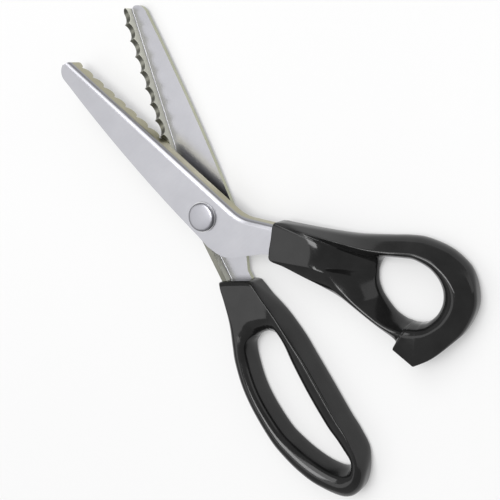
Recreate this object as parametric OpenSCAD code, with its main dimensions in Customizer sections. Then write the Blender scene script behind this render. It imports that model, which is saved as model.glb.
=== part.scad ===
// Pinking shears: two L-section steel blades with scalloped edges on a pivot, and two moulded handles.
// The shears lie on their finger side. The pivot is the Z axis and the blades open about +Y.
// Each half is drawn with its cutting wall parallel to Y, then turned by half the opening angle.

/* [Blades] */
// Distance from the pivot to the tips
blade_len = 95; // [90:1:100]
// Distance from the pivot axis to the outer face of the thumb blade's cutting wall
edge_offset = 11.3; // [10.8:0.1:11.5]
// How much further out the finger blade's cutting wall stands
finger_out = 0.8; // [0:0.1:1]
// Thickness of the steel sheet
sheet = 2.2; // [1.8:0.1:2.4]
// Outside radius of the bend between plate and wall
bend_r = 2.6; // [2.5:0.1:3.2]
// Distance between the outer faces of the two blades
stack_h = 13.1; // [12.8:0.1:14]
// Angle between the cutting walls as the shears lie
open_angle = 34.2; // [28:0.2:44]

/* [Scallops] */
// Distance from one cusp to the next
scallop_pitch = 7; // [6.5:0.1:7.2]
// Depth of a scallop
scallop_depth = 2.5; // [2:0.1:2.8]
// Distance from the pivot to the middle of the first scallop
first_scallop = 36.7; // [35:0.1:38]
// Number of scallops
scallop_count = 9; // [7:1:9]
// Gap between the meshing scallops
scallop_gap = 0.2; // [0.1:0.05:0.3]

/* [Pivot] */
// Diameter of the screw head
head_d = 12; // [11:0.5:13]
// Height of the screw head
head_h = 1.9; // [1.6:0.1:2.4]
// Diameter of the screw thread
screw_d = 5; // [4:0.5:6]
// Diameter of the barrel that the thumb half turns on
barrel_d = 8; // [7.5:0.5:9]
// Diameter of the flange of the barrel nut
nut_d = 13; // [12:0.5:14]
// Height of the flange of the barrel nut
nut_h = 1.5; // [1.2:0.1:1.8]
// Diameter of the bosses between the blades
boss_d = 14; // [13:0.5:15]
// Radial clearance of the thumb half on the barrel
running_fit = 0.05; // [0.02:0.01:0.08]

/* [Handles] */
// Thickness of the finger handle around its loop
finger_bow_h = 12.5; // [11.5:0.5:14]
// Thickness of the thumb handle around its loop
thumb_bow_h = 13; // [12:0.5:14]
// Plastic over the outer face of the thumb blade
neck_cover = 1.4; // [1.2:0.1:2]
// Depth of the pocket that grips each shank
pocket_depth = 9; // [7:0.5:10]

/* [Hidden] */

$fn = 64;
tiny = 0.01;

// Levels above the surface that the shears lie on
finger_face = nut_h;
thumb_face = nut_h + stack_h;
middle = nut_h + stack_h / 2;
cusp_level = middle + scallop_depth / 2;
wall_gap = 0.4;
land_gap = 0.1;
washer_h = 0.5;
slide_gap = 0.05;
boss_bore = barrel_d + 2 * running_fit;
spring_h = 0.4;
bore_floor = 3;
screw_end = 4;

// Height of a cutter that passes through everything
through = 40;

// A scallop is an arc through two cusps that sags by its depth
half_pitch = scallop_pitch / 2;
scallop_r = (half_pitch ^ 2 + scallop_depth ^ 2) / (2 * scallop_depth);
scallop_centre = cusp_level - scallop_depth + scallop_r;
teeth_start = first_scallop - 2;
cusp_land = 0.05;
groove_r = scallop_r - cusp_land;
bump_r = groove_r - scallop_gap;

// Shanks: where the cutting wall leaves its straight line, how sharply it turns, and its run to the lip
finger_edge = edge_offset + finger_out;
thumb_waist = -9.5;
thumb_turn_r = 16;
thumb_turn = 28.3;
thumb_shank = 11.8;
finger_waist = 15;
finger_turn_r = 50;
finger_turn = 10.6;
finger_shank = 34.7;
thumb_shank_w = 12.2;
finger_shank_w = 11.5;
sheet_w = 26;
fold_steps = 6;
turn_steps = 9;

// Tips
tip_r = 5.2;
thumb_tip_y = blade_len - 0.2;
finger_tip_y = blade_len + 0.9;
tip_step = 0.6;
side_step = 0.1;

// Tangs, which carry the plates on inside the handles
tang_w = 6.5;
tang_step = 0.2;
thumb_tang = 12;
finger_tang = 8;

// Edges of the handles: rounding at the loop, how square it is, and how finely it is drawn
round_in = 4;
squareness = 2.4;
section_steps = 8;
station_steps = 3;

steel = [0.74, 0.74, 0.77];
bright_steel = [0.82, 0.82, 0.84];
bronze = [0.70, 0.52, 0.30];
plastic = [0.08, 0.08, 0.085];

// Spine of a blade, a shallow arc from the pivot to the tip
function spine_x(spine, y) = spine[0] + spine[1] * y + spine[2] * y ^ 2;
thumb_spine = [-8, 0.059, 0.00074];
finger_spine = [-9.1, 0.0945, 0.00048];

// Points on an arc
function arc(cx, cy, r, a0, a1, n) =
    [for (i = [0:n]) let (a = a0 + (a1 - a0) * i / n) [cx + r * cos(a), cy + r * sin(a)]];

// Far edge of a blade's plan from the pivot to the tip, and the round corner where the wall ends
function blade_edge(edge, spine, tip_y) = concat(
    [for (y = [-3:5:87]) [spine_x(spine, y), y]],
    arc(spine_x(spine, tip_y - tip_r) + tip_r, tip_y - tip_r, tip_r, 171, 92, 8),
    arc(edge - bend_r + side_step, tip_y - tip_step - bend_r, bend_r, 90, 0, 6));

// A point of each shank, by its distance inwards from the outer face of the wall and its depth past the lip
function thumb_lip_point(inwards, depth) =
    [edge_offset + thumb_turn_r - (thumb_turn_r + inwards) * cos(thumb_turn)
         + (thumb_shank + depth) * sin(thumb_turn),
     thumb_waist - (thumb_turn_r + inwards) * sin(thumb_turn) - (thumb_shank + depth) * cos(thumb_turn)];
function finger_lip_point(inwards, depth) =
    [finger_edge - finger_turn_r + (finger_turn_r - inwards) * cos(finger_turn)
         - (finger_shank + depth) * sin(finger_turn),
     finger_waist - (finger_turn_r - inwards) * sin(finger_turn) - (finger_shank + depth) * cos(finger_turn)];

// Plans of the two halves, which run past the outer face of the wall and past the end of the shank
thumb_plan = concat(
    blade_edge(edge_offset, thumb_spine, thumb_tip_y),
    [[edge_offset + 3, 80], [edge_offset + 3, 0], thumb_lip_point(-3, -3), thumb_lip_point(-3, pocket_depth + 3),
     thumb_lip_point(thumb_shank_w, pocket_depth + 3), thumb_lip_point(thumb_shank_w, 1), [5.5, -30.2],
     [0.5, -25.6], [-5.2, -20.5], [-7.3, -17.5], [-8.3, -14], [-8.8, -9]]);
finger_plan = concat(
    blade_edge(finger_edge, finger_spine, finger_tip_y),
    [[finger_edge + 3, 80], [finger_edge + 3, 0], finger_lip_point(-4, pocket_depth + 3),
     finger_lip_point(finger_shank_w, pocket_depth + 3), finger_lip_point(finger_shank_w, 1),
     [-8.3, -20.5], [-8.9, -12]]);

// Section of the folded sheet: X runs inwards from the outer face of the wall, Y is height
fold_section = concat(
    [[0, 0]],
    arc(bend_r, stack_h - bend_r, bend_r, 180, 90, fold_steps),
    [[sheet_w, stack_h], [sheet_w, stack_h - sheet]],
    arc(bend_r, stack_h - bend_r, bend_r - sheet, 90, 180, fold_steps),
    [[sheet, 0]]);

// Folded sheet whose fold follows a path. A row of the path is a point on the outer face of the wall
// and the angle at which the sheet runs inwards from it.
module folded_sheet(path) {
    n = len(path);
    m = len(fold_section);
    points = [for (p = path, q = fold_section) [p[0] + q[0] * cos(p[2]), p[1] + q[0] * sin(p[2]), q[1]]];
    sides = [for (i = [0:n - 2], j = [0:m - 1])
        let (k = (j + 1) % m) [i * m + j, (i + 1) * m + j, (i + 1) * m + k, i * m + k]];
    z = (n - 1) * m;
    first = [for (j = [0:m / 2 - 2]) [j, j + 1, m - 2 - j, m - 1 - j]];
    last = [for (j = [0:m / 2 - 2]) [z + m - 1 - j, z + m - 2 - j, z + j + 1, z + j]];
    polyhedron(points, concat(sides, first, last));
}

// The fold is straight along the blade, turns at the waist and is straight again into the handle
function fold_path(edge, waist, turn_r, turn, run) =
    let (side = sign(turn), cx = edge + side * turn_r, last = 180 + turn,
         bend = [for (i = [0:turn_steps]) let (a = 180 + turn * i / turn_steps)
             [cx - side * turn_r * cos(a - 180), waist - side * turn_r * sin(a - 180), a]],
         end = bend[turn_steps])
    concat(
        [[edge, blade_len + 3, 180]],
        bend,
        [[end[0] - run * sin(last), end[1] + run * cos(last), last]]);

// Half rings about the pivot, over the blades, whose lower halves are the scallops
module scallop_rings(r) {
    for (i = [0:scallop_count - 1])
        rotate_extrude(angle = 180, $fn = 180) translate([first_scallop + i * scallop_pitch, scallop_centre]) circle(r);
}

// Everything above a level
module above(level, y_end = 200) {
    translate([-200, -200, level]) cube([400, 200 + y_end, 100]);
}

// Frames at the lips: the origin on the outer face of the wall, -Y into the handle, the plate towards -X
module at_thumb_lip() {
    translate([edge_offset + thumb_turn_r, thumb_waist, 0]) rotate([0, 0, thumb_turn])
        translate([-thumb_turn_r, -thumb_shank, 0]) children();
}

module at_finger_lip() {
    translate([finger_edge - finger_turn_r, finger_waist, 0]) rotate([0, 0, -finger_turn])
        translate([finger_turn_r, -finger_shank, 0]) children();
}

// Bar that carries a plate on past its pocket
module tang(shank_w, length) {
    translate([-(shank_w + tang_w) / 2, -pocket_depth - length, stack_h - sheet + tang_step])
        cube([tang_w, length + 1, sheet - 2 * tang_step]);
}

// Pocket that a shank and its tang fill: an L with square corners, open at the lip
module pocket(shank_w, length) {
    wall_h = stack_h / 2 - wall_gap;
    translate([-shank_w, -pocket_depth, stack_h - sheet]) cube([shank_w, 2 * pocket_depth, sheet]);
    translate([-sheet, -pocket_depth, stack_h - wall_h]) cube([sheet, 2 * pocket_depth, wall_h]);
    tang(shank_w, length);
}

// Pressed blanks before their scallops are cut: outer face up, cutting wall down to 0
module thumb_blank() {
    intersection() {
        folded_sheet(fold_path(edge_offset, thumb_waist, thumb_turn_r, thumb_turn, thumb_shank + pocket_depth));
        linear_extrude(through, center = true) polygon(thumb_plan);
    }
    at_thumb_lip() tang(thumb_shank_w, thumb_tang);
}

module finger_blank() {
    intersection() {
        folded_sheet(fold_path(finger_edge, finger_waist, finger_turn_r, -finger_turn,
            finger_shank + pocket_depth));
        linear_extrude(through, center = true) polygon(finger_plan);
    }
    at_finger_lip() tang(finger_shank_w, finger_tang);
}

// Each half turned from its drawing position to the way the shears lie
module place_thumb() {
    rotate([0, 0, open_angle / 2]) translate([0, 0, finger_face]) children();
}

module place_finger() {
    rotate([0, 0, -open_angle / 2]) translate([0, 0, thumb_face]) rotate([0, 180, 0]) children();
}

// Steel of each half before its wall is cut
module thumb_steel() {
    place_thumb() thumb_blank();
}

module finger_steel() {
    place_finger() finger_blank();
}

// Thumb blade: bumps hang from the wall, and the wall is level between the pivot and the handle
module thumb_blade() {
    color(steel) difference() {
        intersection() {
            thumb_steel();
            union() {
                above(cusp_level + land_gap / 2);
                above(middle + wall_gap, teeth_start);
                scallop_rings(bump_r);
            }
        }
        cylinder(d = boss_bore, h = through);
    }
}

// Finger blade: grooves between raised cusps, meshing with the bumps
module finger_blade() {
    color(steel) difference() {
        finger_steel();
        above(cusp_level - land_gap / 2);
        above(middle - wall_gap, teeth_start);
        scallop_rings(groove_r);
        cylinder(d = barrel_d, h = through);
    }
}

// Catmull-Rom curve through closed rows of numbers
function spline(a, b, c, d, t) =
    (2 * b + t * (c - a) + t ^ 2 * (2 * a - 5 * b + 4 * c - d) + t ^ 3 * (3 * b - a - 3 * c + d)) / 2;
function smooth_loop(rows) =
    let (n = len(rows))
    [for (i = [0:n - 1], k = [0:station_steps - 1])
        spline(rows[(i + n - 1) % n], rows[i], rows[(i + 1) % n], rows[(i + 2) % n], k / station_steps)];

// Superellipse quarter turns, with the sign kept
function soft(v) = sign(v) * abs(v) ^ (2 / squareness);

// Closed section from the loop's edge to the outside. A station is
// [inner x, inner y, outer x, outer y, inner low, inner high, outer low, outer high, outer rounding].
function section(s) =
    let (inner = [s[0], s[1]], outer = [s[2], s[3]], w = norm(outer - inner), along = (outer - inner) / w,
         ri = min(round_in, w / 2), ro = min(s[8], w / 2))
    concat(
        [for (k = [0:section_steps]) let (a = -90 + 180 * k / section_steps, u = w - ro + ro * soft(cos(a)))
            concat(inner + u * along, (s[6] + s[7] + (s[7] - s[6]) * soft(sin(a))) / 2)],
        [for (k = [0:section_steps]) let (a = 90 + 180 * k / section_steps, u = ri + ri * soft(cos(a)))
            concat(inner + u * along, (s[4] + s[5] + (s[5] - s[4]) * soft(sin(a))) / 2)]);

// Closed shell through the sections of a ring of stations
module ring_shell(rows) {
    loop = smooth_loop(rows);
    n = len(loop);
    m = 2 * (section_steps + 1);
    points = [for (s = loop) each section(s)];
    faces = [for (i = [0:n - 1], j = [0:m - 1])
        let (a = i * m + j, b = i * m + (j + 1) % m, c = (i + 1) % n * m + (j + 1) % m, d = (i + 1) % n * m + j)
        each [[a, c, b], [a, d, c]]];
    polyhedron(points, faces);
}

// Stations of the finger handle around its loop, from the top of its outer limb through the lip
finger_stations = [
    [-0.6, -58, -8.5, -56, 0, 12.3, 0, 11.6, 3.6],
    [2, -55.5, -7.1, -46, 0, 12, 0, 10.6, 3],
    [3, -54.9, -6.2, -36, 0, 12, 0, 10.2, 2],
    [4, -54.5, -6.1, -29.8, 0, 12, 0, 10, 1.4],
    [5, -54.3, -4.6, -28.5, 0, 12, 0, 10, 1.4],
    [7, -54.1, 3, -30, 0, 12, 0, 10, 1.4],
    [9, -54.2, 9.2, -31.7, 0, 12, 0, 10, 1.4],
    [10, -54.6, 11, -34, 0, 12, 0, 10, 1.4],
    [11, -55.3, 13.5, -39, 0, 12, 0, 10.3, 2],
    [13, -57.5, 18.1, -47, 0, 12.2, 0, 11.2, 3],
    [15.3, -62.9, 23.4, -58.5, 0, finger_bow_h, 0, finger_bow_h, 3.6],
    [16.5, -70, 26.4, -68.5, 0, finger_bow_h, 0, finger_bow_h, 4],
    [19.4, -84, 30.4, -81.4, 0, finger_bow_h, 0, finger_bow_h, 4],
    [23.2, -97.7, 34.2, -95, 0, finger_bow_h, 0, finger_bow_h, 4],
    [25.9, -104.4, 36.3, -103, 0, finger_bow_h, 0, finger_bow_h, 4],
    [28.2, -111.4, 37.3, -111.9, 0, finger_bow_h, 0, finger_bow_h, 4],
    [28.4, -114.8, 34.6, -120.5, 0, finger_bow_h, 0, finger_bow_h, 4],
    [26.5, -116.9, 29.2, -127.2, 0, finger_bow_h, 0, finger_bow_h, 4],
    [22.6, -116.7, 21.5, -128.8, 0, finger_bow_h, 0, finger_bow_h, 4],
    [16.9, -113.4, 11.7, -121.9, 0, finger_bow_h, 0, finger_bow_h, 4],
    [11.6, -108.2, 4.8, -114.9, 0, finger_bow_h, 0, finger_bow_h, 4],
    [7, -102.3, -0.6, -106.8, 0, finger_bow_h, 0, finger_bow_h, 4],
    [3.1, -95.8, -4.4, -98.8, 0, finger_bow_h, 0, finger_bow_h, 4],
    [-0.8, -84, -8.3, -85, 0, finger_bow_h, 0, finger_bow_h, 4],
    [-2.4, -74.3, -9.9, -73.7, 0, finger_bow_h, 0, finger_bow_h, 4],
    [-2.2, -64, -9.6, -63, 0, finger_bow_h, 0, finger_bow_h, 4]];

module finger_handle() {
    color(plastic) difference() {
        rotate([0, 0, -open_angle / 2]) ring_shell(finger_stations);
        place_finger() at_finger_lip() pocket(finger_shank_w, finger_tang);
    }
}

// Stations of the thumb handle around its loop, from the top of its inner limb through the lip
neck_top = thumb_face + neck_cover;
neck_low = 6;
ring_top = thumb_bow_h;
thumb_stations = [
    [24.4, -75.6, 11.9, -66, 0, ring_top, 0.6, 13.4, 4],
    [25.6, -73.7, 11.3, -59.6, 0, ring_top, 1.5, 14.2, 3.6],
    [27, -72.2, 9.9, -50, 0, ring_top, 3.5, 15.2, 3],
    [28.4, -71.1, 8.3, -41, 0, ring_top, 5, neck_top, 2],
    [29.4, -70.4, 6.5, -35.3, 0, ring_top, neck_low, neck_top, 1.4],
    [30.2, -70, 8.4, -33, 0, ring_top, neck_low, neck_top, 1.4],
    [31.4, -69.6, 13.7, -30.2, 0, ring_top, neck_low, neck_top, 1.4],
    [32.6, -69.3, 19.2, -27.4, 0, ring_top, neck_low, neck_top, 1.4],
    [33.4, -69.2, 20.9, -28.4, 0, ring_top, neck_low, neck_top, 1.4],
    [34.2, -69.1, 23, -32, 0, ring_top, neck_low, neck_top, 2],
    [35.5, -69.2, 29.5, -43.6, 0, ring_top, 4, 15.4, 3],
    [37.3, -69.8, 36.4, -55, 0, ring_top, 1.5, 14.2, 3.6],
    [40, -72.9, 44.3, -65.1, 0, ring_top, 0.3, 13.4, 4],
    [42.5, -76.3, 49.8, -71.8, 0, ring_top, 0, ring_top, 4],
    [44.8, -79.9, 53.4, -77.3, 0, ring_top, 0, ring_top, 4],
    [46, -84.8, 56.3, -84.9, 0, ring_top, 0, ring_top, 4],
    [46, -88.5, 57.1, -91.3, 0, ring_top, 0, ring_top, 4],
    [44.8, -92.7, 55.9, -98.4, 0, ring_top, 0, ring_top, 4],
    [42.4, -96.2, 51.7, -104.9, 0, ring_top, 0, ring_top, 4],
    [38.8, -98.7, 45.6, -109.6, 0, ring_top, 0, ring_top, 4],
    [34.7, -99.7, 36.3, -111.8, 0, ring_top, 0, ring_top, 4],
    [30.6, -99.2, 26.5, -110.6, 0, ring_top, 0, ring_top, 4],
    [26.8, -97.5, 19.5, -105.5, 0, ring_top, 0, ring_top, 4],
    [24, -94.4, 15.6, -98.5, 0, ring_top, 0, ring_top, 4],
    [22.1, -90.4, 14.2, -91.4, 0, ring_top, 0, ring_top, 4],
    [21.5, -86, 13.4, -85.7, 0, ring_top, 0, ring_top, 4],
    [22.2, -81.8, 12.9, -79.9, 0, ring_top, 0, ring_top, 4],
    [23.4, -77.6, 12.4, -73.1, 0, ring_top, 0, ring_top, 4]];

// Spur that meets the finger handle when the shears are closed
spur_outline = [[18, -93], [12, -95.5], [12.4, -105.4], [20, -109.2], [26, -110], [28, -100]];
spur_low = 1.5;
spur_top = 11.5;

module thumb_handle() {
    color(plastic) {
        difference() {
            rotate([0, 0, open_angle / 2]) ring_shell(thumb_stations);
            place_thumb() at_thumb_lip() pocket(thumb_shank_w, thumb_tang);
        }
        rotate([0, 0, open_angle / 2]) translate([0, 0, spur_low])
            linear_extrude(spur_top - spur_low) polygon(spur_outline);
    }
}

// Bosses on the insides of the plates, which hold the plates apart at the pivot
module ring(outer_d, inner_d, low, high) {
    translate([0, 0, low]) difference() {
        cylinder(d = outer_d, h = high - low);
        translate([0, 0, -1]) cylinder(d = inner_d, h = high - low + 2);
    }
}

module finger_boss() {
    color(steel) ring(boss_d, barrel_d, finger_face + sheet, middle - washer_h);
}

module thrust_washer() {
    color(bronze) ring(boss_d - 1, barrel_d, middle - washer_h, middle);
}

module thumb_boss() {
    color(steel) ring(boss_d, boss_bore, middle + slide_gap, thumb_face - sheet);
}

module spring_washer() {
    color(bright_steel) ring(head_d + 0.8, barrel_d, thumb_face + slide_gap, thumb_face + slide_gap + spring_h);
}

// Barrel nut: flange under the finger blade, barrel up through both halves, tapped for the screw
barrel_top = thumb_face + slide_gap + spring_h;
module barrel_nut() {
    color(steel) difference() {
        union() {
            cylinder(d = nut_d, h = nut_h);
            cylinder(d = barrel_d, h = barrel_top);
        }
        translate([0, 0, bore_floor]) cylinder(d = screw_d, h = through);
    }
}

// Screw with a low domed head and a chamfered rim
module pivot_screw() {
    rim = 0.5;
    dome = 0.35;
    dome_r = ((head_d / 2 - rim) ^ 2 + dome ^ 2) / (2 * dome);
    color(bright_steel) {
        translate([0, 0, barrel_top]) rotate_extrude() polygon([
            [0, 0], [head_d / 2, 0], [head_d / 2, head_h - rim - dome], [head_d / 2 - rim, head_h - dome],
            [0, head_h - dome]]);
        translate([0, 0, barrel_top + head_h - dome_r]) intersection() {
            sphere(dome_r);
            translate([0, 0, dome_r - dome]) cylinder(r = head_d / 2 - rim, h = dome + 1);
        }
        translate([0, 0, screw_end]) cylinder(d = screw_d, h = barrel_top - screw_end + tiny);
    }
}

finger_blade();
finger_handle();
finger_boss();
barrel_nut();
thrust_washer();
thumb_blade();
thumb_handle();
thumb_boss();
spring_washer();
pivot_screw();
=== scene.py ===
import math

import bmesh
import bpy
from mathutils import Matrix, Vector


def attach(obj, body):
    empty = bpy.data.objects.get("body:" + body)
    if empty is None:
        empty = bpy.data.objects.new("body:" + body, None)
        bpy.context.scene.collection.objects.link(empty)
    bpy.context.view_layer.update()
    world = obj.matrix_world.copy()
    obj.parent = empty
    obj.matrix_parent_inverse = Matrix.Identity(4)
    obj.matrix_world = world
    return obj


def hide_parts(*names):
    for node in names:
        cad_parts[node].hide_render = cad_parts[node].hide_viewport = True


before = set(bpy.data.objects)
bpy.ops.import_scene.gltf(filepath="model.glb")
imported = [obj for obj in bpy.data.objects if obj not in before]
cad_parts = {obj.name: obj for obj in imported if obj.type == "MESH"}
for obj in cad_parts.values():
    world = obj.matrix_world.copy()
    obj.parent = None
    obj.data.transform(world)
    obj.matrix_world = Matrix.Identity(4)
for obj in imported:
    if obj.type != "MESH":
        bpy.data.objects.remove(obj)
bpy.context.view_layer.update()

MM = 0.001
HALF_OPEN = math.radians(17.1)

# Points of the CAD mesh closer than this are one point
WELD = 2e-6
# Width of the broken edges of the steel
EDGE_BREAK = 0.16 * MM


# ---------------------------------------------------------------- small helpers

def catmull(a, b, c, d, t):
    return 0.5 * (2 * b + t * (c - a) + t * t * (2 * a - 5 * b + 4 * c - d)
                  + t ** 3 * (3 * b - a - 3 * c + d))


def smooth_loop(rows, steps):
    """Rows of numbers round a closed loop, with steps - 1 rows put between each two."""
    n, out = len(rows), []
    for i in range(n):
        quad = [rows[(i + k) % n] for k in (-1, 0, 1, 2)]
        for s in range(steps):
            out.append([catmull(*vals, s / steps) for vals in zip(*quad)])
    return out


def filleted(points, radii, steps=5):
    """A closed section whose corners are rounded, each with the same number of points."""
    out, n = [], len(points)
    for i in range(n):
        p, q, r = points[i - 1], points[i], points[(i + 1) % n]
        to_p, to_r = p - q, r - q
        reach = min(radii[i], 0.49 * to_p.length, 0.49 * to_r.length)
        a = q + to_p.normalized() * reach if to_p.length > 1e-9 else q
        b = q + to_r.normalized() * reach if to_r.length > 1e-9 else q
        for s in range(steps + 1):
            t = s / steps
            out.append(a * (1 - t) ** 2 + q * 2 * t * (1 - t) + b * t * t)
    return out


def linked(name, data):
    """A new object, put in the scene."""
    obj = bpy.data.objects.new(name, data)
    bpy.context.scene.collection.objects.link(obj)
    return obj


def new_object(name, mesh, body):
    obj = linked(name, mesh)
    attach(obj, body)
    return obj


def shade(mesh, angle=math.radians(28)):
    """Smooth faces, with the edges sharper than the angle kept sharp."""
    bm = bmesh.new()
    bm.from_mesh(mesh)
    for f in bm.faces:
        f.smooth = True
    for e in bm.edges:
        if len(e.link_faces) == 2:
            e.smooth = e.calc_face_angle(0) < angle
    bm.to_mesh(mesh)
    bm.free()


# ---------------------------------------------------------------- materials

def material(name):
    m = bpy.data.materials.new(name)
    m.use_nodes = True
    m.node_tree.nodes.clear()
    return m, m.node_tree.nodes, m.node_tree.links


def add(nodes, kind, **values):
    node = nodes.new(kind)
    for key, value in values.items():
        if key in node.inputs:
            node.inputs[key].default_value = value
        else:
            setattr(node, key, value)
    return node


def ramp(nodes, stops):
    node = nodes.new("ShaderNodeValToRGB")
    while len(node.color_ramp.elements) < len(stops):
        node.color_ramp.elements.new(0.5)
    for e, (pos, col) in zip(node.color_ramp.elements, stops):
        e.position, e.color = pos, (*col, 1)
    return node


def steel(name, dark, light, rough, grain=(60, 900, 400), bump=0.02):
    """Plated steel: a fine directional grain, faint clouds in the gloss and tiny scratches."""
    m, nodes, links = material(name)
    out = add(nodes, "ShaderNodeOutputMaterial")
    bsdf = add(nodes, "ShaderNodeBsdfPrincipled", Metallic=1.0)
    links.new(bsdf.outputs[0], out.inputs[0])
    where = add(nodes, "ShaderNodeTexCoord")
    stretch = add(nodes, "ShaderNodeMapping", Scale=grain)
    links.new(where.outputs["Object"], stretch.inputs[0])
    lines = add(nodes, "ShaderNodeTexNoise", Scale=4.0, Detail=6.0, Roughness=0.6)
    links.new(stretch.outputs[0], lines.inputs["Vector"])
    cloud = add(nodes, "ShaderNodeTexNoise", Scale=70.0, Detail=4.0, Roughness=0.55)
    links.new(where.outputs["Object"], cloud.inputs["Vector"])
    speck = add(nodes, "ShaderNodeTexNoise", Scale=1500.0, Detail=2.0)
    links.new(where.outputs["Object"], speck.inputs["Vector"])
    tint = ramp(nodes, [(0.3, dark), (0.7, light)])
    links.new(cloud.outputs["Fac"], tint.inputs[0])
    grainy = add(nodes, "ShaderNodeMixRGB", blend_type="MULTIPLY", Fac=0.12)
    links.new(tint.outputs[0], grainy.inputs[1])
    links.new(lines.outputs["Fac"], grainy.inputs[2])
    links.new(grainy.outputs[0], bsdf.inputs["Base Color"])
    gloss = add(nodes, "ShaderNodeMapRange")
    gloss.inputs["To Min"].default_value = rough - 0.03
    gloss.inputs["To Max"].default_value = rough + 0.06
    links.new(lines.outputs["Fac"], gloss.inputs[0])
    links.new(gloss.outputs[0], bsdf.inputs["Roughness"])
    height = add(nodes, "ShaderNodeMath", operation="MULTIPLY_ADD")
    height.inputs[1].default_value = 0.5
    links.new(speck.outputs["Fac"], height.inputs[0])
    links.new(lines.outputs["Fac"], height.inputs[2])
    relief = add(nodes, "ShaderNodeBump", Strength=0.25, Distance=bump * MM)
    links.new(height.outputs[0], relief.inputs["Height"])
    links.new(relief.outputs[0], bsdf.inputs["Normal"])
    return m


def plastic(name, dark, light, rough):
    """Moulded plastic: a faint orange peel, slight clouds in the gloss and hairline marks."""
    m, nodes, links = material(name)
    out = add(nodes, "ShaderNodeOutputMaterial")
    bsdf = add(nodes, "ShaderNodeBsdfPrincipled", IOR=1.43)
    links.new(bsdf.outputs[0], out.inputs[0])
    where = add(nodes, "ShaderNodeTexCoord")
    cloud = add(nodes, "ShaderNodeTexNoise", Scale=90.0, Detail=5.0, Roughness=0.6)
    links.new(where.outputs["Object"], cloud.inputs["Vector"])
    tint = ramp(nodes, [(0.35, dark), (0.7, light)])
    links.new(cloud.outputs["Fac"], tint.inputs[0])
    links.new(tint.outputs[0], bsdf.inputs["Base Color"])
    stretch = add(nodes, "ShaderNodeMapping", Scale=(900, 70, 400), Rotation=(0, 0, 0.6))
    links.new(where.outputs["Object"], stretch.inputs[0])
    hair = add(nodes, "ShaderNodeTexNoise", Scale=3.0, Detail=5.0)
    links.new(stretch.outputs[0], hair.inputs["Vector"])
    gloss = add(nodes, "ShaderNodeMapRange")
    gloss.inputs["From Min"].default_value = 0.35
    gloss.inputs["From Max"].default_value = 0.75
    gloss.inputs["To Min"].default_value = rough
    gloss.inputs["To Max"].default_value = rough + 0.09
    links.new(hair.outputs["Fac"], gloss.inputs[0])
    links.new(gloss.outputs[0], bsdf.inputs["Roughness"])
    peel = add(nodes, "ShaderNodeTexNoise", Scale=700.0, Detail=3.0)
    links.new(where.outputs["Object"], peel.inputs["Vector"])
    relief = add(nodes, "ShaderNodeBump", Strength=0.2, Distance=0.02 * MM)
    links.new(peel.outputs["Fac"], relief.inputs["Height"])
    links.new(relief.outputs[0], bsdf.inputs["Normal"])
    return m


blade_steel = steel("blade_steel", (0.345, 0.345, 0.368), (0.375, 0.375, 0.398), 0.30)
thumb_wall_steel = steel("thumb_wall_steel", (0.38, 0.36, 0.25), (0.44, 0.42, 0.30), 0.34)
# Finger blade's wall and shank bevel: a pale khaki tint, and painted light, a base far brighter than
# the plates' steel so these faces read as lit
finger_wall_tint_and_painted_light = steel("finger_wall_tint_and_painted_light", (0.86, 0.86, 0.76), (0.93, 0.93, 0.82), 0.60)
edge_steel = steel("edge_steel", (0.46, 0.47, 0.36), (0.54, 0.55, 0.43), 0.42)
# Painted shade: a near-black tone on the scallop faces, for the shade in the hollows of the teeth
scallop_painted_shade = steel("scallop_painted_shade", (0.13, 0.13, 0.11), (0.22, 0.22, 0.19), 0.4)
pivot_steel = steel("pivot_steel", (0.45, 0.45, 0.46), (0.55, 0.55, 0.56), 0.38)
screw_steel = steel("screw_steel", (0.31, 0.31, 0.335), (0.36, 0.36, 0.385), 0.28,
                    grain=(300, 300, 300), bump=0.005)
bronze = steel("bronze", (0.42, 0.28, 0.14), (0.55, 0.38, 0.20), 0.35)
black_plastic = plastic("black_plastic", (0.006, 0.006, 0.006), (0.012, 0.012, 0.012), 0.1)


# ---------------------------------------------------------------- steel pieces

def finished_copy(node, name, body, mats, pick):
    """A CAD blade's shape as a welded mesh with broken edges. pick gives a face's material."""
    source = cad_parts[node]
    bm = bmesh.new()
    bm.from_mesh(source.data)
    bm.transform(source.matrix_world)
    bmesh.ops.remove_doubles(bm, verts=bm.verts, dist=WELD)
    bmesh.ops.dissolve_degenerate(bm, edges=bm.edges, dist=WELD)
    mesh = bpy.data.meshes.new(name)
    bm.to_mesh(mesh)
    bm.free()
    mesh.materials.clear()
    for m in mats:
        mesh.materials.append(m)
    obj = linked(name, mesh)
    flat = obj.modifiers.new("flat", "DECIMATE")
    flat.decimate_type = "DISSOLVE"
    flat.angle_limit = math.radians(0.6)
    edges = obj.modifiers.new("edges", "BEVEL")
    edges.width = EDGE_BREAK
    edges.segments = 2
    edges.limit_method = "ANGLE"
    edges.angle_limit = math.radians(32)
    edges.use_clamp_overlap = True
    edges.miter_outer = "MITER_ARC"
    graph = bpy.context.evaluated_depsgraph_get()
    done = bpy.data.meshes.new_from_object(obj.evaluated_get(graph))
    obj.modifiers.clear()
    obj.data = done
    for poly in done.polygons:
        poly.material_index = pick(poly)
    shade(done)
    flat_faces = obj.modifiers.new("flat_faces", "WEIGHTED_NORMAL")
    flat_faces.keep_sharp = True
    flat_faces.weight = 100
    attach(obj, body)
    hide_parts(node)


# Materials of a blade, in the order of its slots; the scallop slot is painted shade
PLATE, WALL, CUT_EDGE, SCALLOPS = range(4)

# How far a face's normal leans to the vertical: on the plate and its fold, and in a scallop
PLATE_LEAN = 0.35
SCALLOP_LEAN = 0.25

# Where the two walls begin, in millimetres across the blade's own axis
THUMB_WALL, FINGER_WALL = 8.5, -9.0
# Levels in millimetres where the scallops end, and where the fold into the plate starts
THUMB_SCALLOPS_END, FINGER_SCALLOPS_END = 9.6, 6.4
THUMB_FOLD, FINGER_FOLD = 12.6, 3.4
# The finger blade's shank lies below this, in millimetres along the blade
FINGER_SHANK = -6


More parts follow.
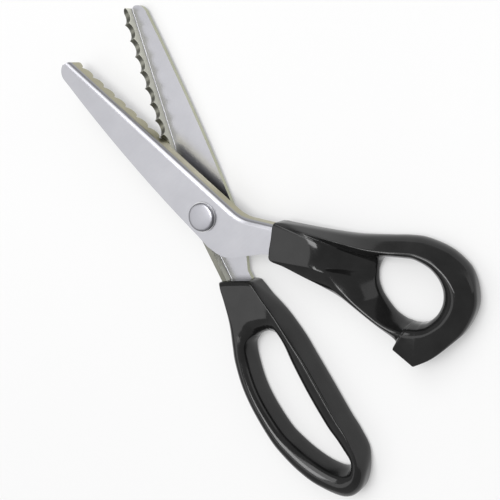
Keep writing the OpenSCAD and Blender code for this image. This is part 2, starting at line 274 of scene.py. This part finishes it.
def thumb_region(poly):
    z, nz = poly.center.z / MM, abs(poly.normal.z)
    across = (poly.center.x * math.cos(HALF_OPEN) + poly.center.y * math.sin(HALF_OPEN)) / MM
    on_wall = across > THUMB_WALL
    if on_wall and z < THUMB_SCALLOPS_END and nz > SCALLOP_LEAN:
        return SCALLOPS
    if nz > PLATE_LEAN:
        return PLATE
    if on_wall:
        return WALL if z < THUMB_FOLD else PLATE
    return CUT_EDGE


def finger_region(poly):
    z, nz = poly.center.z / MM, abs(poly.normal.z)
    across = (poly.center.x * math.cos(HALF_OPEN) - poly.center.y * math.sin(HALF_OPEN)) / MM
    along = (poly.center.x * math.sin(HALF_OPEN) + poly.center.y * math.cos(HALF_OPEN)) / MM
    on_wall = across < FINGER_WALL
    if on_wall and z > FINGER_SCALLOPS_END and nz > SCALLOP_LEAN:
        return SCALLOPS
    if nz > PLATE_LEAN:
        return PLATE
    # The shank's left bevel takes the wall's pale tint and painted light
    if along < FINGER_SHANK and across < 0:
        return WALL
    if on_wall:
        return WALL if z > FINGER_FOLD else PLATE
    return CUT_EDGE


# Each blade's last slot is painted shade on the scallops
finished_copy("thumb_blade", "thumb_blade_finished", "thumb_half",
              [blade_steel, thumb_wall_steel, edge_steel, scallop_painted_shade], thumb_region)
# The finger blade's wall slot is partly painted light
finished_copy("finger_blade", "finger_blade_finished", "finger_half",
              [blade_steel, finger_wall_tint_and_painted_light, edge_steel, scallop_painted_shade], finger_region)


# ---------------------------------------------------------------- handles
# A station is a slice of the handle from the edge of its loop outwards, in millimetres, in its
# own half's axes: inner x, inner y, outer x, outer y, inner low, outer low, then four points of
# the top as (share of the way outwards, height, rounding), then the rounding of the two lower
# corners.

STATION_STEPS = 6


def handle(name, node, body, stations, turn):
    rows = [[*s[:6], *[v for point in s[6] for v in point], s[7], s[8]] for s in stations]
    loop = smooth_loop(rows, STATION_STEPS)
    bm = bmesh.new()
    rings = []
    c, sn = math.cos(turn), math.sin(turn)
    for s in loop:
        xi, yi, xo, yo, low_i, low_o = s[:6]
        w = math.hypot(xo - xi, yo - yi)
        ax, ay = (xo - xi) / w, (yo - yi) / w
        tops = [s[k:k + 3] for k in range(6, 18, 3)]
        corners = [Vector((0, low_i)), Vector((w, low_o))]
        radii = s[18:]
        for u, z, r in reversed(tops):
            corners.append(Vector((u * w, z)))
            radii.append(r)
        ring = []
        for p in filleted(corners, radii):
            x, y = xi + ax * p.x, yi + ay * p.x
            ring.append(bm.verts.new((MM * (x * c - y * sn), MM * (x * sn + y * c), MM * p.y)))
        rings.append(ring)
    n, m = len(rings), len(rings[0])
    for i in range(n):
        this, after = rings[i], rings[(i + 1) % n]
        for j in range(m):
            bm.faces.new((this[j], this[(j + 1) % m], after[(j + 1) % m], after[j]))
    bmesh.ops.recalc_face_normals(bm, faces=bm.faces)
    mesh = bpy.data.meshes.new(name)
    bm.to_mesh(mesh)
    bm.free()
    mesh.materials.append(black_plastic)
    shade(mesh, math.radians(40))
    obj = new_object(name, mesh, body)
    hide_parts(node)


# Height of the ridge round the finger handle and round the thumb handle
F, T = 12.5, 13.0


def limb(z_in, u1, z1, u2, z2, z_out, r_in=2.0, r1=1.5, r2=1.5, r_out=3.0):
    return [(0, z_in, r_in), (u1, z1, r1), (u2, z2, r2), (1, z_out, r_out)]


right_limb = limb(8.5, 0.28, 10.8, 0.75, F, 3.4, r_in=2.5, r1=4, r2=1.4, r_out=2.5)
left_limb = limb(3.0, 0.20, 10.4, 0.58, 12.3, 10.4, r_in=2.0, r1=2.5, r2=3.0, r_out=2.2)
foot = limb(4.5, 0.25, 11.0, 0.58, F, 9.0, r_in=2.0, r1=2.5, r2=2.5, r_out=3.0)

finger_stations = [
    [-0.6, -58, -8.5, -56, 0, 0, limb(5, 0.28, 11, 0.66, 12.0, 10.0, 2, 4, 3, 2.2), 2.5, 3],
    [2, -55.5, -7.1, -46, 0, 0, limb(5.5, 0.24, 10.8, 0.8, 11.0, 9, 2, 4, 2, 2), 2.5, 3],
    [3, -54.9, -6.2, -36, 0, 0, limb(6, 0.2, 10.8, 0.9, 10.6, 9.2, 2, 4, 1.5, 1.2), 2.5, 2],
    [4, -54.5, -6.1, -29.8, 0, 0, limb(6, 0.16, 10.8, 0.93, 10.3, 9.0, 2, 4, 0.8, 0.8), 2.5, 1],
    [5, -54.3, -4.6, -28.5, 0, 0, limb(6, 0.16, 10.8, 0.93, 10.3, 9.0, 2, 4, 0.8, 0.8), 2.5, 1],
    [7, -54.1, 3, -30, 0, 0, limb(6, 0.17, 10.9, 0.93, 10.3, 9.0, 2, 4, 0.8, 0.8), 2.5, 1],
    [9, -54.2, 9.2, -31.7, 0, 0, limb(6, 0.18, 10.9, 0.93, 10.4, 9.0, 2, 4, 0.8, 0.8), 2.5, 1],
    [10, -54.6, 11, -34, 0, 0, limb(6, 0.2, 10.9, 0.92, 10.6, 8.0, 2, 4, 0.8, 1.5), 2.5, 1],
    [11, -55.3, 13.5, -39, 0, 0, limb(5.5, 0.25, 10.9, 0.88, 11.2, 5.5, 2, 4, 0.8, 2), 2.5, 1.5],
    [13, -57.5, 18.1, -47, 0, 0, limb(5, 0.3, 10.9, 0.78, 12.2, 3.4, 2, 4, 0.8, 2.5), 2.5, 2],
    [15.3, -62.9, 22.8, -58.8, 0, 0, limb(8.0, 0.28, 10.9, 0.68, 12.4, 2.9, 2, 4, 1.0, 2.5), 3, 2.5],
    [16.5, -70, 25.6, -68.6, 0, 0, right_limb, 3, 2.5],
    [19.4, -84, 29.1, -81.7, 0, 0, right_limb, 3, 2.5],
    [23.2, -97.7, 32.6, -95.4, 0, 0, right_limb, 3, 2.5],
    [25.9, -104.4, 34.9, -103.1, 0, 0, right_limb, 3, 2.5],
    [28.2, -111.4, 36.3, -111.9, 0, 0, limb(8.0, 0.26, 10.8, 0.62, F, 3.6, 2, 3, 1.4, 2.5), 3, 2.5],
    [28.4, -114.8, 34.1, -120.2, 0, 0, foot, 3, 3],
    [26.5, -116.9, 29.1, -126.9, 0, 0, foot, 3, 3],
    [22.6, -116.7, 21.5, -128.7, 0, 0, foot, 3, 3],
    [16.9, -113.4, 11.7, -121.9, 0, 0, left_limb, 3, 3],
    [11.6, -108.2, 4.8, -114.9, 0, 0, left_limb, 3, 3],
    [7, -102.3, -0.6, -106.8, 0, 0, left_limb, 3, 3],
    [3.1, -95.8, -4.4, -98.8, 0, 0, left_limb, 3, 3],
    [-0.8, -84, -8.3, -85, 0, 0, left_limb, 3, 3],
    [-2.4, -74.3, -9.9, -73.7, 0, 0, left_limb, 3, 3],
    [-2.2, -64, -9.6, -63, 0, 0, left_limb, 3, 3]]


def ring(u, z_out, r_ridge=1.8, r_out=3.0, z_in=8.5):
    return limb(z_in, 0.45 * u, 11.4, u, T, z_out, r_in=1.5, r1=2, r2=r_ridge, r_out=r_out)


def funnel(u, z_out, r_ridge=2.0):
    return limb(3.5, 0.55 * u, 9.0, u, T, z_out, r_in=2, r1=5, r2=r_ridge, r_out=2)


def scoop(z_in, u1, z1, u2, z2, z_out, r2, r_out):
    return limb(z_in, u1, z1, u2, z2, z_out, r_in=2, r1=8, r2=r2, r_out=r_out)


thumb_stations = [
    [24.4, -75.6, 11.9, -66, 0, 0.6, scoop(3.5, 0.42, 10.4, 0.74, 13.2, 8, 2.0, 2), 3, 2.5],
    [25.6, -73.7, 11.3, -59.6, 0, 1.5, scoop(3.5, 0.38, 11.0, 0.70, 13.6, 10, 2.0, 2), 3, 2],
    [27, -72.2, 9.9, -50, 0, 3.5, scoop(3.5, 0.33, 10.9, 0.58, 14.2, 13.4, 2.4, 1.6), 3, 1.5],
    [28.4, -71.1, 8.3, -41, 0, 5, scoop(3.5, 0.33, 10.3, 0.49, 15.2, 15.4, 5, 1.2), 3, 1],
    [29.4, -70.4, 6.5, -35.3, 0, 6, scoop(3.5, 0.34, 9.9, 0.50, 16.0, 15.8, 6, 0.8), 3, 0.8],
    [30.2, -70, 8.4, -33, 0, 6, scoop(3.5, 0.34, 9.9, 0.50, 16.0, 15.8, 6, 0.8), 3, 0.8],
    [31.4, -69.6, 13.7, -30.2, 0, 6, scoop(4, 0.34, 10.0, 0.50, 16.0, 15.6, 6, 0.8), 3, 0.8],
    [32.6, -69.3, 19.2, -27.4, 0, 6, scoop(4.5, 0.34, 10.5, 0.53, 15.9, 15.4, 5, 0.8), 3, 0.8],
    [33.4, -69.2, 20.9, -28.4, 0, 6, scoop(5, 0.34, 11.2, 0.64, 15.9, 13.8, 4, 1.0), 3, 0.8],
    [34.2, -69.1, 23, -32, 0, 6, scoop(5.5, 0.32, 12.0, 0.80, 15.7, 11.8, 2, 1.6), 3, 1],
    [35.5, -69.2, 29.5, -43.6, 0, 4, scoop(6.5, 0.22, 12, 0.66, 15.2, 9.5, 1.2, 2.5), 3, 2],
    [37.3, -69.8, 36.4, -55, 0, 1.5, limb(7.5, 0.18, 12, 0.42, 14.2, 8, 1.5, 3, 1.2, 3), 3, 2.5],
    [40, -72.9, 44.3, -65.1, 0, 0.3, limb(8.5, 0.12, 11.4, 0.28, 13.4, 7, 1.5, 2, 1.2, 3), 3, 3],
    [42.5, -76.3, 49.8, -71.8, 0, 0, ring(0.28, 6.5), 3, 3],
    [44.8, -79.9, 53.4, -77.3, 0, 0, ring(0.30, 6.5), 3, 3],
    [46, -84.8, 56.1, -84.9, 0, 0, ring(0.33, 6.5), 3, 3],
    [46, -88.5, 56.9, -91.3, 0, 0, ring(0.33, 6.5), 3, 3],
    [44.8, -92.7, 55.9, -98.4, 0, 0, ring(0.36, 6.5), 3, 3],
    [42.4, -96.2, 51.7, -104.9, 0, 0, ring(0.42, 8.5, 2, 2), 3, 3],
    [38.8, -98.7, 45.6, -109.6, 0, 0, ring(0.41, 8.5, 2, 2), 3, 3],
    [34.7, -99.7, 36.3, -111.8, 0, 0, ring(0.36, 9.0, 2, 2), 3, 3],
    [31.5, -99.5, 28.5, -111, 0, 0, ring(0.31, 10.0, 2, 1.5), 3, 2],
    [28.4, -98.6, 20, -109.2, 0.4, 0.6, ring(0.24, 11.4, 2, 0.8, 8.2), 3, 1],
    [26.5, -97.3, 13.3, -106.2, 0.6, 1.2, ring(0.20, 11.8, 2, 0.6, 7.8), 3, 0.6],
    [26, -96.9, 12.4, -105.4, 0.6, 1.4, ring(0.20, 11.8, 2, 0.6, 7.6), 3, 0.6],
    [25.7, -96.6, 12.3, -104.3, 0.6, 1.4, ring(0.21, 11.8, 2, 0.6, 7.4), 3, 0.6],
    [24.4, -95, 12, -96.7, 0.4, 1.4, ring(0.31, 11.8, 2, 0.6, 6.6), 3, 0.6],
    [24.2, -94.7, 12, -95.6, 0.4, 1.4, ring(0.33, 11.8, 2, 0.6, 6.4), 3, 0.6],
    [24, -94.4, 12.7, -95.1, 0.3, 1.2, ring(0.38, 11.4, 2, 0.6, 6.2), 3, 0.6],
    [23.6, -93.8, 14.2, -94.5, 0, 0.6, ring(0.46, 10.0, 2, 1.5, 5.8), 3, 1],
    [23.3, -93.2, 14.5, -93.6, 0, 0, limb(5.4, 0.24, 10.2, 0.50, T, 9.5, 1.5, 3, 2, 1.5), 3, 2],
    [22.1, -90.4, 14.2, -91.4, 0, 0, limb(4.5, 0.28, 9.4, 0.57, T, 8.8, 2, 4, 2, 2), 3, 3],
    [21.5, -86, 13.4, -85.7, 0, 0, funnel(0.65, 8.4), 3, 3],
    [22.2, -81.8, 12.9, -79.9, 0, 0, funnel(0.71, 8.2), 3, 3],
    [23.4, -77.6, 12.4, -73.1, 0, 0, funnel(0.74, 8), 3, 3]]

handle("finger_handle_moulding", "finger_handle", "finger_half", finger_stations, -HALF_OPEN)
handle("thumb_handle_moulding", "thumb_handle", "thumb_half", thumb_stations, HALF_OPEN)


# ---------------------------------------------------------------- pivot pieces

for part, mat in (("finger_boss", pivot_steel), ("thumb_boss", pivot_steel),
                  ("barrel_nut", pivot_steel), ("spring_washer", pivot_steel),
                  ("thrust_washer", bronze)):
    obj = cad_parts[part]
    if not obj.data.materials:
        obj.data.materials.append(mat)
    for material_slot in obj.material_slots:
        material_slot.material = mat


def turned(name, node, body, mat, profile, steps=96):
    """A turned piece from its half section: radius and height in millimetres, foot to top."""
    bm = bmesh.new()
    rings = []
    for r, z in profile:
        turns = [2 * math.pi * k / steps for k in range(steps)]
        rings.append([bm.verts.new((MM * r * math.cos(a), MM * r * math.sin(a), MM * z))
                      for a in turns])
    for a, b in zip(rings, rings[1:]):
        for k in range(steps):
            bm.faces.new((a[k], a[(k + 1) % steps], b[(k + 1) % steps], b[k]))
    for ring, z in ((rings[0], profile[0][1]), (rings[-1], profile[-1][1])):
        hub = bm.verts.new((0, 0, MM * z))
        for k in range(steps):
            bm.faces.new((ring[k], ring[(k + 1) % steps], hub))
    bmesh.ops.recalc_face_normals(bm, faces=bm.faces)
    mesh = bpy.data.meshes.new(name)
    bm.to_mesh(mesh)
    bm.free()
    mesh.materials.append(mat)
    shade(mesh, math.radians(50))
    obj = new_object(name, mesh, body)
    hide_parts(node)


# Pivot screw, in millimetres: a plain shank, a head with a rounded rim, and a low dome on it
screw_foot, seat, head_top = 4.0, 15.05, 16.95
shank_r, head_r, dome_r = 2.5, 6.0, 5.4
rim_h, rim_out, rim_up = 0.8, 0.6, 0.78
dome_fall = 0.011
rim_steps, rim_turn = 8, 9.5
dome_steps, dome_end = 8, 8.6
head_profile = [(2.2, screw_foot), (shank_r, 4.3), (shank_r, seat),
                (5.85, seat), (head_r, seat + 0.12), (head_r, seat + rim_h)]
for k in range(1, rim_steps + 1):
    turn_by = math.radians(rim_turn * k)
    head_profile.append((dome_r + rim_out * math.cos(turn_by),
                         seat + rim_h + rim_up * math.sin(turn_by)))
for k in range(1, dome_steps + 1):
    r = dome_r * (1 - k / dome_end)
    head_profile.append((r, head_top - dome_fall * r * r))
turned("pivot_screw_finished", "pivot_screw", "finger_half", screw_steel, head_profile)


# ---------------------------------------------------------------- floor, light and camera

# Half the floor's width, and its level just under the shears, in metres
FLOOR_SIZE = 12
FLOOR_LEVEL = -0.0002


def floor():
    m, nodes, links = material("floor_white")
    out = add(nodes, "ShaderNodeOutputMaterial")
    bsdf = add(nodes, "ShaderNodeBsdfPrincipled", Roughness=0.9)
    bsdf.inputs["Emission Color"].default_value = (1, 1, 1, 1)
    bsdf.inputs["Emission Strength"].default_value = 0.30
    links.new(bsdf.outputs[0], out.inputs[0])
    where = add(nodes, "ShaderNodeTexCoord")
    noise = add(nodes, "ShaderNodeTexNoise", Scale=6.0, Detail=3.0)
    links.new(where.outputs["Object"], noise.inputs["Vector"])
    tint = ramp(nodes, [(0.0, (0.45, 0.45, 0.45)), (1.0, (0.47, 0.47, 0.47))])
    links.new(noise.outputs["Fac"], tint.inputs[0])
    links.new(tint.outputs[0], bsdf.inputs["Base Color"])
    bm = bmesh.new()
    bmesh.ops.create_grid(bm, x_segments=8, y_segments=8, size=FLOOR_SIZE)
    bmesh.ops.translate(bm, verts=bm.verts, vec=(0, 0, FLOOR_LEVEL))
    mesh = bpy.data.meshes.new("floor")
    bm.to_mesh(mesh)
    bm.free()
    mesh.materials.append(m)
    obj = linked("floor", mesh)


floor()

world = bpy.data.worlds.new("studio")
bpy.context.scene.world = world
world.use_nodes = True
background = world.node_tree.nodes["Background"]
background.inputs["Color"].default_value = (1, 1, 1, 1)
background.inputs["Strength"].default_value = 0.42
bpy.context.scene.view_settings.view_transform = "Standard"


# All the lights point at the middle of the pivot
AIM = Vector((0, 0, 0.005))


def area(name, where, size, power):
    """A square light: its place and width in metres, and its power in watts."""
    light = bpy.data.lights.new(name, "AREA")
    light.energy = power
    light.shape = "RECTANGLE"
    light.size, light.size_y = size, size
    obj = linked(name, light)
    obj.location = where
    obj.rotation_euler = (AIM - Vector(where)).to_track_quat("-Z", "Y").to_euler()


area("softbox", (-1.25, 0.60, 2.10), 1.7, 12.0)
area("top", (0.25, 0.30, 2.20), 1.15, 34)
area("glow", (0.80, 1.25, 1.75), 1.5, 20)
area("side", (2.0, -0.5, 0.4), 1.2, 4.0)

eye = (0.2149, -0.0791, 0.3654)
view = Vector((-0.498, 0.1365, -0.8565)).normalized()
up = Vector((0.517, 0.8395, -0.167))
right = view.cross(up).normalized()
up = right.cross(view).normalized()
cam_data = bpy.data.cameras.new("camera")
cam_data.lens = 72
cam_data.sensor_width = 36
cam_data.clip_start = 0.01
cam = linked("camera", cam_data)
turn = Matrix((right, up, -view)).transposed().to_4x4()
cam.matrix_world = Matrix.Translation(eye) @ turn
bpy.context.scene.camera = cam
